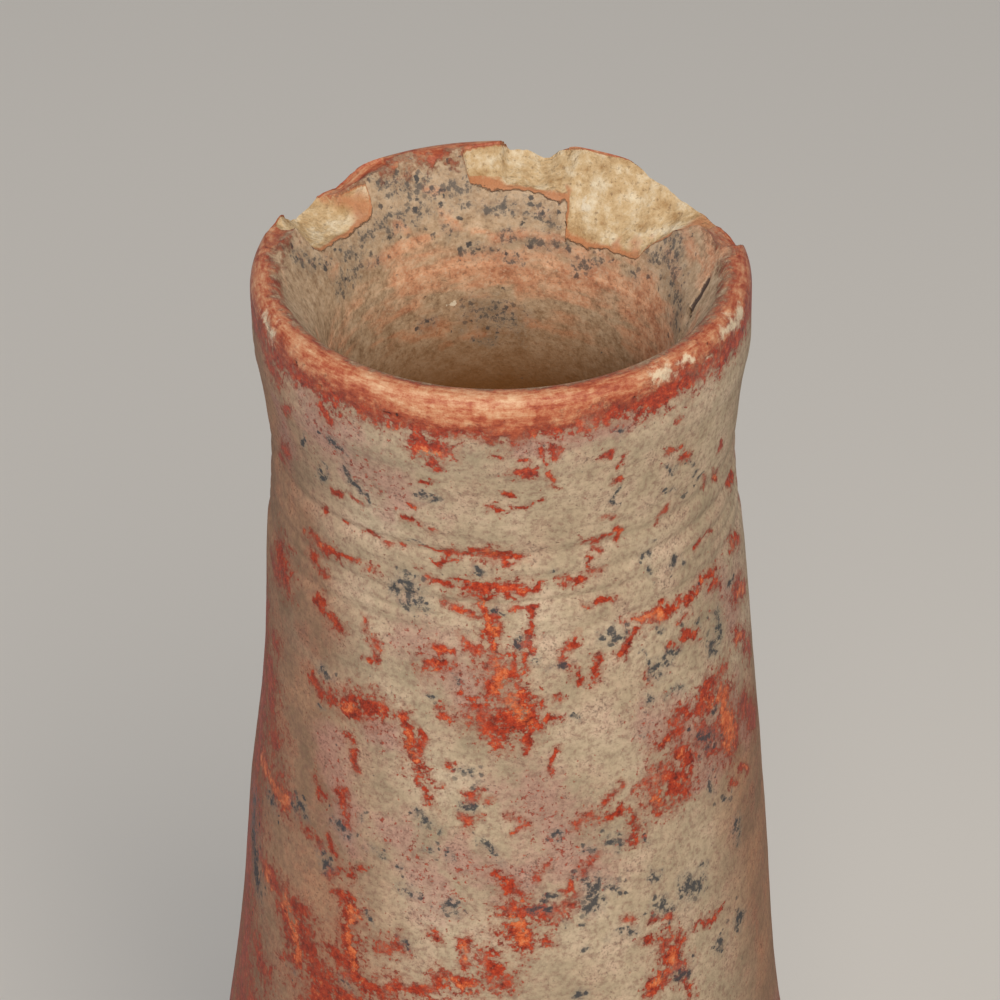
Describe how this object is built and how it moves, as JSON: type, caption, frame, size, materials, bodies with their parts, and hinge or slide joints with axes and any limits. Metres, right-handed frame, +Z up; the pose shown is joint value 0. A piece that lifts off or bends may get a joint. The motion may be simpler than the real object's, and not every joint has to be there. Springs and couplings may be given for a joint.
{
  "type": "long-necked bottle",
  "caption": "Tall earthenware bottle with a rounded body, long tapering neck, grooved collar and chipped flared lip, for holding liquid.",
  "frame": {"origin": "middle of the flat underside", "axes": "+Z up along the bottle's axis, -Y towards the side that the picture shows, +X to its right"},
  "size_m": [0.14, 0.14, 0.29],
  "materials": {
    "bare_clay": "matt fired clay",
    "crusted_slip": "matt lime crust over red slip",
    "worn_slip": "worn burnished red slip"
  },
  "bodies": {
    "root": {"base_disc": "bare_clay", "base_lute": "bare_clay", "lower_body": "crusted_slip", "belly_lute": "bare_clay", "upper_body": "crusted_slip", "shoulder_lute": "bare_clay", "neck": "crusted_slip", "neck_lute": "bare_clay", "collar": "crusted_slip", "rim_lute": "bare_clay", "rim": "worn_slip"}
  },
  "joints": []
}
